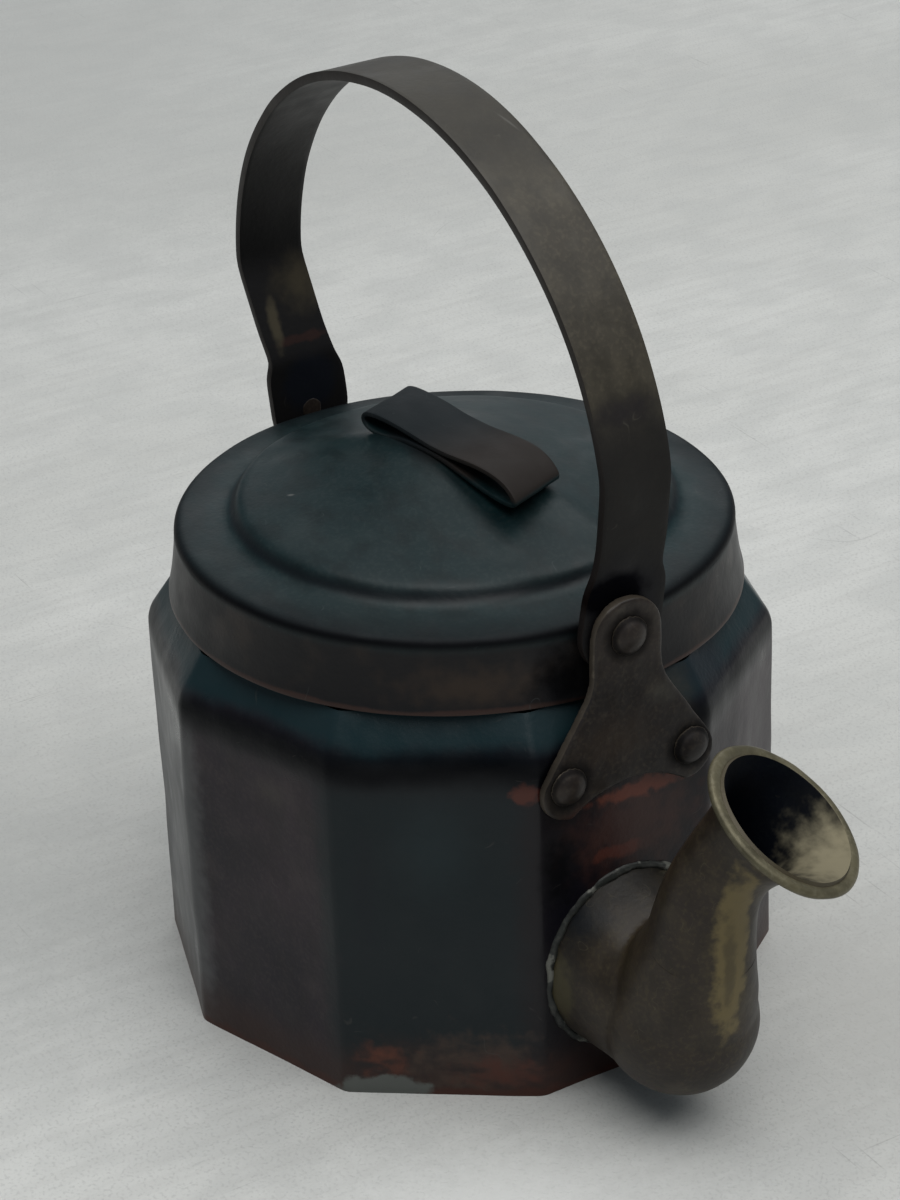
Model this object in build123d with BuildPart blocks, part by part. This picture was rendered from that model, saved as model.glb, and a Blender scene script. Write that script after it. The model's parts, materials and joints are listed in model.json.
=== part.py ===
"""A ten-sided copper teapot: lift-off cap lid, swinging strap bail on riveted ears, elbow spout.

Millimetres. The origin is on the table under the pot's upright axis. X runs towards the spout, Z is up.
"""

import math
import os

from build123d import *

# Body
sides = 10
across_flats = 123.8
wall = 1.5
corner_round = 2.6
shoulder_z = 77.0
shoulder_rise = 8.8
shoulder_lean = 32.5
shoulder_bend = 7.0
bottom_thickness = 1.5

# Neck inside the lid
neck_wall = 1.2
neck_tuck = 3.5
hem_height = 3.0
hem_step = 0.6
lid_play = 0.4

# Lid
lid_lug_gap = 0.5
lid_rim_z = 102.0
lid_sheet = 1.1
brim_flat = 3.6
step_top_radius = 43.2
step_run = 2.4
brim_rise = 1.5
step_rise = 3.2
crown_rise = 9.4
crown_tip_radius = 7.0
crown_soft_round = 1.6
skirt_depth = 15.6
skirt_flare = 2.0
skirt_sheet = 1.0

# Strap loop on the lid
loop_length = 50.0
loop_width = 14.8
loop_sheet = 1.0
loop_turn = 6.8
loop_slant = 15.0
loop_gap = 0.6
loop_slit = 0.3
loop_bow = 1.6
loop_bow_reach = 16.0
loop_bow_round = 20.0
loop_left_round = 2.3
loop_right_round = 1.6

# Bail
bail_width = 15.0
bail_thickness = 1.9
arch_half_span = 66.5
arch_rise = 65.0
arch_centre_z = 127.0
arch_foot_angle = 4.0
crank_foot_z = 114.5
crank_round = 7.0
lug_width = 18.0
lug_taper = 5.0
lug_clearance = 0.3
bail_edge_round = 0.4

# Ears
ear_thickness = 2.2
ear_lobe_radius = 7.7
ear_neck_z = 90.8
ear_foot_reach = 24.6
ear_foot_z = 64.2
ear_foot_round = 6.0
ear_waist_round = 12.0
ear_arch_height = 4.6
ear_arch_half = 13.0
ear_edge_round = 0.6
pivot_z = 100.6

# Rivets
pivot_shank = 2.4
pivot_play = 0.08
foot_shank = 1.8
head_radius = 4.2
head_height = 2.2
inner_head_radius = 3.2
inner_head_height = 0.9
foot_rivet_y = 14.2
foot_rivet_z = 71.8

# Spout
spout_root_z = 27.0
spout_hole_radius = 14.0
root_half_width = 18.0
root_half_height = 19.8
bulb_radius = 15.6
bulb_out = 19.0
bulb_drop = 3.8
root_step = 0.8
neck_length = 22.6
neck_lean = 18.5
crotch_round = 6.0
joint_radius = 10.4
spout_wall = 1.4
collar_width = 1.4
collar_thickness = 1.2
spout_heading = 42.0
mouth_radius = 17.7
mouth_lip = 3.3
mouth_out = 36.4
mouth_aside = 11.7
mouth_rise = 45.7
mouth_lean = 38.0
lip_thickness = 1.2

# How near two places are when a selector takes them for the same
same_place = 0.02

# Worked out once
apothem = across_flats / 2
facet_turn = 180 / sides
shoulder_top_z = shoulder_z + shoulder_rise
seat_z = lid_rim_z - lid_sheet
lug_outer_x = apothem - lug_clearance
lug_inner_x = lug_outer_x - bail_thickness
step_foot_radius = step_top_radius + step_run
lug_mid_x = lug_outer_x - bail_thickness / 2
lid_radius = lug_inner_x - lid_lug_gap - skirt_flare
neck_radius = lid_radius - skirt_sheet - lid_play - hem_step
ear_face_x = apothem + ear_thickness
foot_points = [(-foot_rivet_y, foot_rivet_z), (foot_rivet_y, foot_rivet_z)]

os.makedirs("parts", exist_ok=True)


def save(builder, name):
    """Label a finished piece and write its file."""
    builder.part.label = name
    export_step(builder.part, f"parts/{name}.step")


def upright_plane(turn):
    """A plane that stands on the pot's axis, its X turned from the spout by so many degrees."""
    along = Vector(1, 0, 0).rotate(Axis.Z, turn)
    return Plane(origin=(0, 0, 0), x_dir=along, z_dir=along.rotate(Axis.Z, -90))


def is_corner(edge):
    """True for an edge that climbs the pot where two facets meet."""
    return abs(edge.position_at(1).Z - edge.position_at(0).Z) > 0.5


def pot_form(inset):
    """The faceted pot as a solid, each face moved in by inset: one profile for each pair of facets."""
    half = apothem - inset
    mitre = inset * math.tan(math.radians(shoulder_lean / 2))
    top_z = shoulder_top_z - inset
    top_half = half - (top_z - shoulder_z + mitre) * math.tan(math.radians(shoulder_lean))
    with BuildPart() as form:
        for pair in range(sides // 2):
            with BuildSketch(upright_plane(pair * 360 / sides)) as section:
                with BuildLine():
                    Polyline(
                        (-half, 0),
                        (half, 0),
                        (half, shoulder_z - mitre),
                        (top_half, top_z),
                        (-top_half, top_z),
                        (-half, shoulder_z - mitre),
                        close=True,
                    )
                make_face()
                fillet(section.vertices().group_by(Axis.Y)[1], shoulder_bend - inset)
            extrude(amount=across_flats, both=True, mode=Mode.INTERSECT if pair else Mode.ADD)
        corners = [e for e in form.edges() if is_corner(e)]
        fillet(corners, corner_round)
    return form.part


pot_outside = pot_form(0)
pot_inside = pot_form(wall)

# Pot wall, with the neck opening, the spout hole and the rivet holes
with BuildPart() as body_wall:
    add(pot_outside)
    add(pot_inside, mode=Mode.SUBTRACT)
    with BuildSketch(Plane.XY.offset(shoulder_z)):
        Circle(neck_radius)
    extrude(amount=shoulder_rise + wall, mode=Mode.SUBTRACT)
    with BuildSketch(Plane.YZ):
        with Locations((0, spout_root_z)):
            Circle(spout_hole_radius)
    extrude(amount=across_flats, mode=Mode.SUBTRACT)
    with BuildSketch(Plane.YZ):
        with Locations(*foot_points):
            Circle(foot_shank)
    extrude(amount=across_flats, both=True, mode=Mode.SUBTRACT)
save(body_wall, "body_wall")

# Bottom plate, soldered in flush with the foot of the wall
with BuildPart() as body_bottom:
    with BuildSketch():
        RegularPolygon(apothem - wall, sides, major_radius=False, rotation=facet_turn)
        fillet(vertices(), corner_round)
    extrude(amount=bottom_thickness)
save(body_bottom, "body_bottom")

# Neck, with a folded hem that the lid sits on
with BuildPart() as neck_ring:
    with BuildSketch(Plane.XZ) as neck_section:
        with BuildLine():
            Polyline(
                (neck_radius - neck_wall, shoulder_top_z - neck_tuck),
                (neck_radius, shoulder_top_z - neck_tuck),
                (neck_radius, seat_z - hem_height),
                (neck_radius + hem_step, seat_z - hem_height),
                (neck_radius + hem_step, seat_z),
                (neck_radius - neck_wall, seat_z),
                close=True,
            )
        make_face()
        hem_corner = neck_section.vertices().group_by(Axis.X)[-1]
        fillet(hem_corner, hem_step / 2)
    revolve(axis=Axis.Z)
save(neck_ring, "neck_ring")

# Lid top: flat brim, soft step and a tented crown
crown_points = [
    (lid_radius, seat_z),
    (lid_radius, lid_rim_z),
    (lid_radius - brim_flat, lid_rim_z),
    (step_foot_radius, lid_rim_z + brim_rise),
    (step_top_radius, lid_rim_z + brim_rise + step_rise),
    (crown_tip_radius, lid_rim_z + brim_rise + step_rise + crown_rise),
    (0, lid_rim_z + brim_rise + step_rise + crown_rise),
]
under_points = [(r, z - lid_sheet) for r, z in reversed(crown_points[2:])]
with BuildPart() as lid_top:
    with BuildSketch(Plane.XZ) as crown_section:
        with BuildLine():
            Polyline(*crown_points, *under_points, close=True)
        make_face()
        soft = [v for v in crown_section.vertices() if 0 < v.X < lid_radius - brim_flat - same_place]
        fillet(soft, crown_soft_round)
    revolve(axis=Axis.Z)
save(lid_top, "lid_top")

# Lid skirt
with BuildPart() as lid_skirt:
    with BuildSketch(Plane.XZ):
        with BuildLine():
            Polyline(
                (lid_radius - skirt_sheet, seat_z),
                (lid_radius, seat_z),
                (lid_radius + skirt_flare, lid_rim_z - skirt_depth),
                (lid_radius + skirt_flare - skirt_sheet, lid_rim_z - skirt_depth),
                close=True,
            )
        make_face()
    revolve(axis=Axis.Z)
save(lid_skirt, "lid_skirt")

# Strap loop, pinched to the crown in the middle
crown_tip_z = lid_rim_z + brim_rise + step_rise + crown_rise
crown_slope = crown_rise / (step_top_radius - crown_tip_radius)
loop_plane = upright_plane(loop_turn)
half_loop = loop_length / 2
loop_end_z = crown_tip_z - (half_loop - crown_tip_radius) * crown_slope + loop_gap
loop_top_z = crown_tip_z + 2 * loop_sheet + loop_slit
loop_across = loop_plane.z_dir.rotate(Axis.Z, -loop_slant)
loop_reach = loop_width / 2 / math.cos(math.radians(loop_slant))
with BuildPart() as lid_strap:
    with BuildSketch(loop_plane) as loop_outline:
        with BuildLine():
            Polyline(
                (-half_loop, loop_top_z),
                (0, loop_top_z),
                (loop_bow_reach, loop_top_z + loop_bow),
                (half_loop, loop_top_z - loop_bow),
                (half_loop, loop_end_z),
                (crown_tip_radius, crown_tip_z),
                (-crown_tip_radius, crown_tip_z),
                (-half_loop, loop_end_z),
                close=True,
            )
        make_face()
        fillet(loop_outline.vertices().group_by(Axis.X)[0], loop_left_round)
        fillet(loop_outline.vertices().group_by(Axis.X)[-1], loop_right_round)
        fillet(loop_outline.vertices().sort_by(Axis.Y)[-1], loop_bow_round)
    extrude(amount=loop_reach, dir=loop_across)
    extrude(loop_outline.sketch, amount=loop_reach, dir=loop_across * -1)
    with BuildSketch(loop_plane) as loop_hollow:
        offset(loop_outline.sketch_local, amount=-loop_sheet)
    extrude(amount=loop_reach, dir=loop_across, mode=Mode.SUBTRACT)
    extrude(loop_hollow.sketch, amount=loop_reach, dir=loop_across * -1, mode=Mode.SUBTRACT)
save(lid_strap, "lid_strap")

# Front ear, riveted to the spout facet: a lobe, a waist and two spread feet
with BuildPart() as front_ear:
    with BuildSketch(Plane.YZ.offset(apothem)) as ear_outline:
        with BuildLine():
            Polyline(
                (-ear_lobe_radius, pivot_z),
                (-ear_lobe_radius, ear_neck_z),
                (-ear_foot_reach, ear_foot_z),
                (-ear_arch_half, ear_foot_z),
            )
            ThreePointArc(
                (-ear_arch_half, ear_foot_z),
                (0, ear_foot_z + ear_arch_height),
                (ear_arch_half, ear_foot_z),
            )
            Polyline(
                (ear_arch_half, ear_foot_z),
                (ear_foot_reach, ear_foot_z),
                (ear_lobe_radius, ear_neck_z),
                (ear_lobe_radius, pivot_z),
            )
            ThreePointArc(
                (ear_lobe_radius, pivot_z),
                (0, pivot_z + ear_lobe_radius),
                (-ear_lobe_radius, pivot_z),
            )
        make_face()
        feet = [v for v in ear_outline.vertices() if abs(abs(v.X) - ear_foot_reach) < same_place]
        fillet(feet, ear_foot_round)
        waist = [v for v in ear_outline.vertices() if abs(v.Y - ear_neck_z) < same_place]
        fillet(waist, ear_waist_round)
    extrude(amount=ear_thickness)
    fillet(front_ear.faces().sort_by(Axis.X)[-1].edges(), ear_edge_round)
    with BuildSketch(Plane.YZ.offset(apothem)):
        with Locations((0, pivot_z)):
            Circle(pivot_shank)
        with Locations(*foot_points):
            Circle(foot_shank)
    extrude(amount=ear_thickness, mode=Mode.SUBTRACT)
save(front_ear, "front_ear")

# Rear ear, on the facet opposite the spout
with BuildPart() as rear_ear:
    mirror(front_ear.part, about=Plane.YZ)
save(rear_ear, "rear_ear")


def rivet_form(at_y, at_z, inner_x, shank, inner_head):
    """A rivet along X: a domed head on the ear's face and a shank that runs in to inner_x."""
    dome_radius = (head_radius**2 + head_height**2) / (2 * head_height)
    with BuildPart() as form:
        with BuildSketch(Plane.XY) as section:
            with BuildLine():
                Line((inner_x, 0), (ear_face_x + head_height, 0))
                RadiusArc((ear_face_x + head_height, 0), (ear_face_x, head_radius), -dome_radius)
                Polyline(
                    (ear_face_x, head_radius),
                    (ear_face_x, shank),
                    (inner_x, shank),
                    (inner_x, 0),
                )
            make_face()
        revolve(axis=Axis.X)
        if inner_head:
            with BuildSketch(Plane.YZ.offset(inner_x)):
                Circle(inner_head_radius)
            extrude(amount=-inner_head_height)
            fillet(form.edges().sort_by(Axis.X)[0], inner_head_height * 0.6)
    return Pos(0, at_y, at_z) * form.part


wall_inner_x = apothem - wall
ear_rivets = {
    "left_rivet": rivet_form(foot_rivet_y, foot_rivet_z, wall_inner_x, foot_shank, True),
    "right_rivet": rivet_form(-foot_rivet_y, foot_rivet_z, wall_inner_x, foot_shank, True),
    "pivot_rivet": rivet_form(0, pivot_z, lug_inner_x, pivot_shank, False),
}

# Rivets: two feet and one pivot in each ear
for rivet_name, rivet_shape in ear_rivets.items():
    with BuildPart() as front_rivet:
        add(rivet_shape)
    save(front_rivet, f"front_{rivet_name}")
    with BuildPart() as rear_rivet:
        mirror(rivet_shape, about=Plane.YZ)
    save(rear_rivet, f"rear_{rivet_name}")

# Bail: a round arch that cranks in to a flat lug behind each ear
arch_foot = math.radians(arch_foot_angle)
arch_foot_x = arch_half_span * math.cos(arch_foot)
arch_foot_z = arch_centre_z + arch_rise * math.sin(arch_foot)
with BuildPart() as bail:
    with BuildSketch(Plane.XZ) as strap_section:
        with BuildLine() as strap_line:
            EllipticalCenterArc(
                (0, arch_centre_z),
                arch_half_span,
                arch_rise,
                start_angle=arch_foot_angle,
                arc_size=90 - arch_foot_angle,
            )
            Polyline(
                (arch_foot_x, arch_foot_z),
                (lug_mid_x, crank_foot_z),
                (lug_mid_x, pivot_z + lug_width / 4),
            )
            fillet(strap_line.vertices().sort_by(Axis.Y)[1:3], crank_round)
        trace(strap_line.line, bail_thickness)
        mirror(about=Plane.YZ)
    extrude(amount=bail_width / 2, both=True)
    side_edges = [e for e in bail.edges() if abs(abs(e.center().Y) - bail_width / 2) < same_place]
    fillet([e for e in side_edges if e.center().Z > crank_foot_z], bail_edge_round)
    with BuildSketch(Plane.YZ.offset(lug_inner_x)) as lug:
        with Locations((0, pivot_z)):
            Circle(lug_width / 2)
        with BuildLine():
            Polyline(
                (-lug_width / 2, pivot_z),
                (-lug_width / 2, crank_foot_z - lug_taper),
                (-bail_width / 2, crank_foot_z),
                (bail_width / 2, crank_foot_z),
                (lug_width / 2, crank_foot_z - lug_taper),
                (lug_width / 2, pivot_z),
                close=True,
            )
        make_face()
        with Locations((0, pivot_z)):
            Circle(pivot_shank + pivot_play, mode=Mode.SUBTRACT)
    extrude(amount=bail_thickness)
    mirror(about=Plane.YZ)
save(bail, "bail")

# Spout stations: outward from the facet, sideways, height above the root, lean, then the radius
root_station = (0.0, 0.0, 0.0, 90)
bulb_station = (bulb_out, 0.0, -bulb_drop, 90, bulb_radius - root_step)
neck_station = (bulb_out, 0.0, -bulb_drop, neck_lean)
joint_station = (
    bulb_station[0] + neck_length * math.sin(math.radians(neck_lean)),
    0.0,
    bulb_station[2] + neck_length * math.cos(math.radians(neck_lean)),
    neck_lean,
    joint_radius,
)
funnel_radius = mouth_radius - mouth_lip + spout_wall

# Each row: shares of the mouth's way out, aside and up, the lean, and the share of the funnel's radius
tube_rows = [
    (0.753, 0.103, 0.586, 20.0, 0.563),
    (0.802, 0.256, 0.748, 26.0, 0.481),
    (0.885, 0.581, 0.880, 34.0, 0.525),
    (0.951, 0.838, 0.950, mouth_lean, 0.720),
    (1.0, 1.0, 1.0, mouth_lean, 1.0),
]
tube_stations = [joint_station] + [
    (out * mouth_out, aside * mouth_aside, up * mouth_rise, lean, share * funnel_radius)
    for out, aside, up, lean, share in tube_rows
]


def station_plane(station):
    """The plane of one spout station; its normal leans from upright, outward, then aside in the tube."""
    out, aside, rise, lean = station[:4]
    heading = spout_heading * min(aside, 1.0)
    normal = Vector(0, 0, 1).rotate(Axis.Y, lean).rotate(Axis.Z, heading)
    across = Vector(0, 1, 0) - normal * normal.Y
    return Plane(origin=(apothem + out, aside, spout_root_z + rise), x_dir=across, z_dir=normal)


def lofted(stations, inset):
    """A solid through the stations, its radius less by inset."""
    with BuildPart() as form:
        for station in stations:
            with BuildSketch(station_plane(station)):
                Circle(station[-1] - inset)
        loft()
    return form.part


def elbow_form(inset):
    """The elbow as a solid: an oval root that runs in to a round bulb, and a neck that rises from it."""
    with BuildPart() as root:
        with BuildSketch(station_plane(root_station)):
            Ellipse(root_half_width - inset, root_half_height - inset)
        with BuildSketch(station_plane(bulb_station)):
            Circle(bulb_station[-1] - inset)
        loft()
    neck_axis = station_plane(neck_station)
    profile_plane = Plane(origin=neck_axis.origin, x_dir=neck_axis.x_dir, z_dir=neck_axis.y_dir * -1)
    ball = bulb_radius - inset
    with BuildPart() as form:
        with BuildSketch(profile_plane):
            with BuildLine():
                Line((0, -ball), (0, neck_length))
                Line((0, neck_length), (joint_radius - inset, neck_length))
                Spline(
                    (joint_radius - inset, neck_length),
                    (ball, 0),
                    tangents=[(0.1, -1), (0, -1)],
                )
                JernArc((ball, 0), (0, -1), ball, -90)
            make_face()
        revolve(axis=Axis(neck_axis.origin, neck_axis.z_dir))
        add(root.part)
        crotch = form.edges(Select.NEW).sort_by(Axis.Z)[-2:]
        fillet(crotch, crotch_round + inset)
    return form.part


elbow_outside = elbow_form(0)
elbow_inside = elbow_form(spout_wall)
tube_outside = lofted(tube_stations, 0)
tube_inside = lofted(tube_stations, spout_wall)

# Spout elbow, soldered to the facet over the hole
with BuildPart() as spout_elbow:
    add(elbow_outside)
    add(elbow_inside, mode=Mode.SUBTRACT)
save(spout_elbow, "spout_elbow")

# Spout tube, which leans aside and opens like a trumpet
with BuildPart() as spout_tube:
    add(tube_outside)
    add(tube_inside, mode=Mode.SUBTRACT)
save(spout_tube, "spout_tube")

# Flat lip round the mouth
with BuildPart() as spout_lip:
    with BuildSketch(station_plane(tube_stations[-1])):
        Circle(mouth_radius)
        Circle(mouth_radius - mouth_lip, mode=Mode.SUBTRACT)
    extrude(amount=lip_thickness)
    fillet(spout_lip.edges(), lip_thickness * 0.3)
save(spout_lip, "spout_lip")

# Collar soldered round the spout's root
with BuildPart() as spout_collar:
    with BuildSketch(Plane.YZ.offset(apothem)):
        with Locations((0, spout_root_z)):
            Ellipse(root_half_width + collar_width, root_half_height + collar_width)
    extrude(amount=collar_thickness)
    fillet(spout_collar.faces().sort_by(Axis.X)[-1].edges(), collar_thickness * 0.8)
    add(elbow_outside, mode=Mode.SUBTRACT)
save(spout_collar, "spout_collar")
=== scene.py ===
# %% [markdown]
# # A hand-made copper teapot
# The pot is sheet copper: a ten-sided body, a cap lid with a strap loop, a strap bail on two
# riveted ears and a spout of two soldered tubes. The frame already holds every piece at its real
# size. This script gives the sheet-metal pieces the soft bends, dents and solder of hand work, and
# all of them the dark patina that the years have left.

# %% Load the frame
import json
import math

import bmesh
import bpy
from mathutils import Euler, Matrix, Vector


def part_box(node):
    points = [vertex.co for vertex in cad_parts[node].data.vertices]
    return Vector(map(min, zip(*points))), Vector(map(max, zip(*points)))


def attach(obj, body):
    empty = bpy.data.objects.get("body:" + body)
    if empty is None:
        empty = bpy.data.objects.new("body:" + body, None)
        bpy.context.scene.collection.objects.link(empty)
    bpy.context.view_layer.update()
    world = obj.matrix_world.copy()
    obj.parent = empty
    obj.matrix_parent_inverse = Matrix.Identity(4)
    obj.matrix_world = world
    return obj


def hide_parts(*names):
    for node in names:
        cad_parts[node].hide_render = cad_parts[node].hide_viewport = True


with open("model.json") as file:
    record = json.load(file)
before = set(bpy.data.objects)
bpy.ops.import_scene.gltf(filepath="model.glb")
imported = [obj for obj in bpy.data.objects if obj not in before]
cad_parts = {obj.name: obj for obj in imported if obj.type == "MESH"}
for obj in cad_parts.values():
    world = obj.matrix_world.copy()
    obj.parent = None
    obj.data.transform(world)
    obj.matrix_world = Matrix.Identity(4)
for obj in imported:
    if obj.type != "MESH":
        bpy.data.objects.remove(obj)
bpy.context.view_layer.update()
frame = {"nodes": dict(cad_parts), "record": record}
nodes = frame["nodes"]
MM = 0.001
print("pieces in the frame:", len(nodes))

# %% [markdown]
# ## Sizes from the frame
# Each new piece stands where the frame has its plain one, so its sizes are read from the boxes of
# the nodes. Only what a box can't tell, such as a bend or a wall, is written as a value of its
# own.

# %% Read the main sizes
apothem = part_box("body_wall")[1][0]
shoulder_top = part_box("body_wall")[1][2]
skirt_low, skirt_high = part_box("lid_skirt")
lid_low, lid_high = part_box("lid_top")
lid_radius = lid_high[0]
shoulder_fold = 77.0 * MM
crown_top = 116.1 * MM
facet_degrees = 36
print(f"across the flats {2 * apothem / MM:.1f} mm, lid {2 * lid_radius / MM:.1f} mm")

# %% [markdown]
# ## Where the spout goes
# The spout leans out from the middle of one facet, and its tube turns aside as it rises. A station
# is one circle along it: millimetres out, aside and up from the middle of the root, the lean in
# degrees, and the radius. A circle that stands a millimetre or more aside is turned fully with the
# mouth. The stations are needed early, because the finish near the mouth reads them too.

# %% Places along the spout
spout_root = Vector((apothem, 0.0, 27.0 * MM))
spout_wall = 1.4 * MM
mouth_turn = math.radians(42)
tube_stations = [
    (26.17, 0.0, 17.63, 18.5, 10.9),
    (27.2, 0.9, 26.8, 20.0, 9.8),
    (28.9, 2.5, 34.2, 26.0, 8.9),
    (31.9, 6.2, 40.2, 34.0, 9.4),
    (34.6, 9.8, 43.4, 38.0, 11.8),
    (36.4, 11.7, 45.7, 38.0, 15.8),
]


def spout_frame(out, aside, rise, lean):
    """The place and turn of one circle on the spout, from its station."""
    heading = Matrix.Rotation(mouth_turn * min(aside, 1.0), 3, "Z")
    normal = heading @ Matrix.Rotation(math.radians(lean), 3, "Y") @ Vector((0, 0, 1))
    across = (Vector((0, 1, 0)) - normal * normal.y).normalized()
    turned = Matrix((across, normal.cross(across), normal)).transposed()
    return spout_root + Vector((out, aside, rise)) * MM, turned


mouth_place, mouth_turned = spout_frame(*tube_stations[-1][:4])
print("mouth at", [round(value / MM, 1) for value in mouth_place], "mm")

# %% [markdown]
# ## Shader maths in plain Python
# A patina is made of masks: near the foot, in the bend, where a noise is high. Written as nodes
# they are a tangle, so a value wraps one socket and Python's own operators add the Math nodes.


# %% Values that vary over a surface
class Value:
    """A number, colour or vector on its way through the nodes of one finish."""

    def __init__(self, finish, socket):
        self.finish = finish
        self.socket = socket

    def math(self, operation, first, second):
        return self.finish.node("ShaderNodeMath", {"operation": operation}, first, second)

    def __add__(self, other):
        return self.math("ADD", self, other)

    def __sub__(self, other):
        return self.math("SUBTRACT", self, other)

    def __rsub__(self, other):
        return self.math("SUBTRACT", other, self)

    def __mul__(self, other):
        return self.math("MULTIPLY", self, other)

    __radd__ = __add__
    __rmul__ = __mul__


# %% [markdown]
# ## One class for a finish
# A finish is one material. Its place gives x, y and z in metres in the pot's own frame, because
# every object sits at the origin, so a mask can say where on the real pot it lies.


# %% A finish and its tools
class Finish:
    """A material with a Principled shader, and short names for the nodes that a patina needs."""

    def __init__(self, name, **constants):
        self.material = bpy.data.materials.new(name)
        self.material.use_nodes = True
        self.tree = self.material.node_tree
        self.shader = self.tree.nodes["Principled BSDF"]
        for socket, value in constants.items():
            self.shader.inputs[socket.replace("_", " ")].default_value = value
        self.place = self.node("ShaderNodeTexCoord", {}, output="Object")
        split = self.node("ShaderNodeSeparateXYZ", {}, self.place)
        axes = split.socket.node.outputs
        self.x, self.y, self.z = (Value(self, axes[axis]) for axis in "XYZ")
        self.facing = Value(self, self.place.socket.node.outputs["Normal"])

    def node(self, kind, settings, *values, output=0):
        """Add a node, set its settings and feed its inputs in order; None leaves one alone."""
        made = self.tree.nodes.new(kind)
        for setting, choice in settings.items():
            setattr(made, setting, choice)
        for socket, value in zip(made.inputs, values):
            self.feed(socket, value)
        return Value(self, made.outputs[output])

    def feed(self, socket, value):
        if isinstance(value, Value):
            self.tree.links.new(value.socket, socket)
        elif value is not None:
            socket.default_value = value

    def fade(self, value, start, end):
        """0 at start, 1 at end, with a soft run between them."""
        settings = {"interpolation_type": "SMOOTHSTEP"}
        return self.node("ShaderNodeMapRange", settings, value, start, end)

    def absolute(self, value):
        return self.node("ShaderNodeMath", {"operation": "ABSOLUTE"}, value)

    def measure(self, operation, *vectors):
        """A number made from vectors, such as a LENGTH or a DOT_PRODUCT."""
        settings = {"operation": operation}
        return self.node("ShaderNodeVectorMath", settings, *vectors, output="Value")

    def squarely(self, axis):
        """How squarely the surface faces along an axis, either way, from 0 to 1."""
        return self.absolute(self.node("ShaderNodeSeparateXYZ", {}, self.facing, output=axis))

    def band(self, value, middle, reach):
        """1 at the middle, fading to 0 at that reach on both sides."""
        return self.fade(self.absolute(value - middle), reach, 0.0)

    def mark(self, centre, radii, facet=0.0, ragged=0.4, soft=0.6):
        """1 inside an oval patch, fading to 0 at its ragged edge.

        The radii go outwards from the facet, along it and up. Ragged is how far the edge wanders
        and soft how wide it fades, both as shares of the radii.
        """
        turn = (0.0, 0.0, math.radians(facet_degrees * facet))
        place = tuple(value * MM for value in centre)
        size = tuple(value * MM for value in radii)
        settings = {"vector_type": "TEXTURE"}
        inside = self.node("ShaderNodeMapping", settings, self.place, place, turn, size)
        wander = ragged * self.noise(3 * MM, 9.0, shift=centre[2])
        border = 1.0 + ragged / 2
        return self.fade(self.measure("LENGTH", inside) + wander, border, border - soft)

    def lines(self, size, width, share):
        """Thin wandering lines, as scratches are, broken so that only that share of them shows."""
        line = self.band(self.noise(size, 2.0, shift=21.0), 0.5, width)
        gaps = self.noise(0.4 * size, 3.0, shift=33.0)
        return line * self.fade(gaps, 1 - share, 1.08 - share)

    def noise(self, size, detail=4.0, stretch=(1.0, 1.0, 1.0), shift=0.0):
        """A cloudy value from 0 to 1, with clouds of that size in metres, drawn out by stretch."""
        scale = tuple(1.0 / (size * factor) for factor in stretch)
        moved = (shift, shift, shift)
        where = self.node("ShaderNodeMapping", {}, self.place, moved, (0.0, 0.0, 0.0), scale)
        return self.node("ShaderNodeTexNoise", {}, where, None, 1.0, detail)

    def mix(self, mask, under, over):
        """Two colours, the second showing where the mask is 1."""
        node = self.node("ShaderNodeMix", {"data_type": "RGBA", "clamp_factor": True}, mask)
        sockets = node.socket.node
        self.feed(sockets.inputs[6], under)
        self.feed(sockets.inputs[7], over)
        return Value(self, sockets.outputs[2])

    def bump(self, height, depth):
        """Relief of that depth in metres where the height goes from 0 to 1."""
        bump = self.node("ShaderNodeBump", {}, 1.0, depth)
        self.feed(bump.socket.node.inputs["Height"], height)
        self.shader_input("Normal", bump)

    def shader_input(self, name, value):
        self.feed(self.shader.inputs[name], value)


def colour(red, green, blue):
    """An opaque colour from linear values."""
    return (red, green, blue, 1.0)


# %% [markdown]
# ## Patina
# Old copper isn't copper-coloured. A thin dark oxide covers it, and oxide is no metal: it is
# nearly black, takes a teal or a purple-brown cast, and shines only at a flat angle, where it
# mirrors the pale floor. So these finishes are dark and not metallic, and raw red copper shows
# only in marks where it was rubbed or overheated. One function makes the common ground: two
# colours in wide clouds, a fine grain, brushed strokes, worn specks and a low relief. Each finish
# then adds its own marks.

# %% The common patina
cloud_size = 30 * MM
stain_size = 10 * MM
grain_size = 0.9 * MM
stroke_size = 5 * MM
relief_size = 9 * MM
oxide_gloss = 1.36
# painted shade is laid in this black
shade_black = (0.0010, 0.0012, 0.0020)


def patina(name, ground, cloud, grain, rough, strokes_along=(1.0, 1.0, 1.0), gloss=oxide_gloss):
    """A dark oxide on sheet metal, returned with colour and roughness still open to additions."""
    finish = Finish(name, IOR=gloss)
    clouds = finish.fade(finish.noise(cloud_size, 5.0), 0.36, 0.66)
    stains = finish.fade(finish.noise(stain_size, 7.0, shift=3.0), 0.50, 0.74)
    fine = finish.noise(grain_size, 4.0, shift=7.0)
    strokes = finish.noise(stroke_size, 7.0, strokes_along, 11.0)
    finish.stains = stains
    finish.strokes = strokes
    finish.metal = 0.0 * fine
    shade = finish.mix(clouds, colour(*ground), colour(*cloud))
    shade = finish.mix(stains * 0.45, shade, colour(*grain))
    shade = finish.mix(finish.fade(fine, 0.46, 0.68) * 0.45, shade, colour(*grain))
    darker = colour(*(0.35 * part for part in ground))
    finish.colour = finish.mix(finish.fade(strokes, 0.58, 0.34) * 0.5, shade, darker)
    finish.rough = rough + 0.10 * clouds + 0.16 * strokes - 0.08 * stains
    finish.relief = 0.55 * finish.noise(relief_size, 3.0) + 0.30 * strokes + 0.15 * fine
    return finish


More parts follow.
